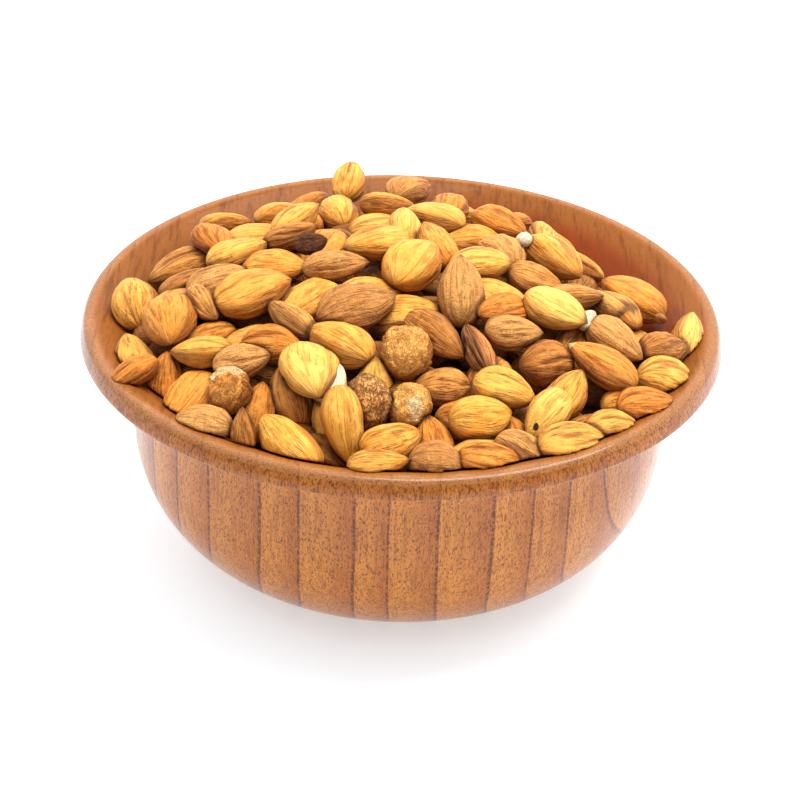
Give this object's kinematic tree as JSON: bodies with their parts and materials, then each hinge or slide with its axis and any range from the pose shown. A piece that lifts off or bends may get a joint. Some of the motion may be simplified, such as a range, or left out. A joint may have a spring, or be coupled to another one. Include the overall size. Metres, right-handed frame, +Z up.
{
  "type": "bowl of apricot kernels",
  "caption": "Turned, lacquered wooden bowl with a flared rounded rim, heaped above the rim with shelled apricot kernels in mixed golden and brown tones",
  "frame": {"origin": "under the middle of the bowl's foot, on the surface that it stands on", "axes": "+Z up out of the bowl, -Y towards the viewer of the picture, +X to the viewer's right"},
  "size_m": [0.15, 0.15, 0.076],
  "materials": {
    "bowl_wood": "lacquered, glossy",
    "kernel_skin": "dry, papery skin with a faint sheen"
  },
  "bodies": {
    "root": {"bowl": "bowl_wood", "kernel_heap": "kernel_skin"}
  },
  "joints": []
}
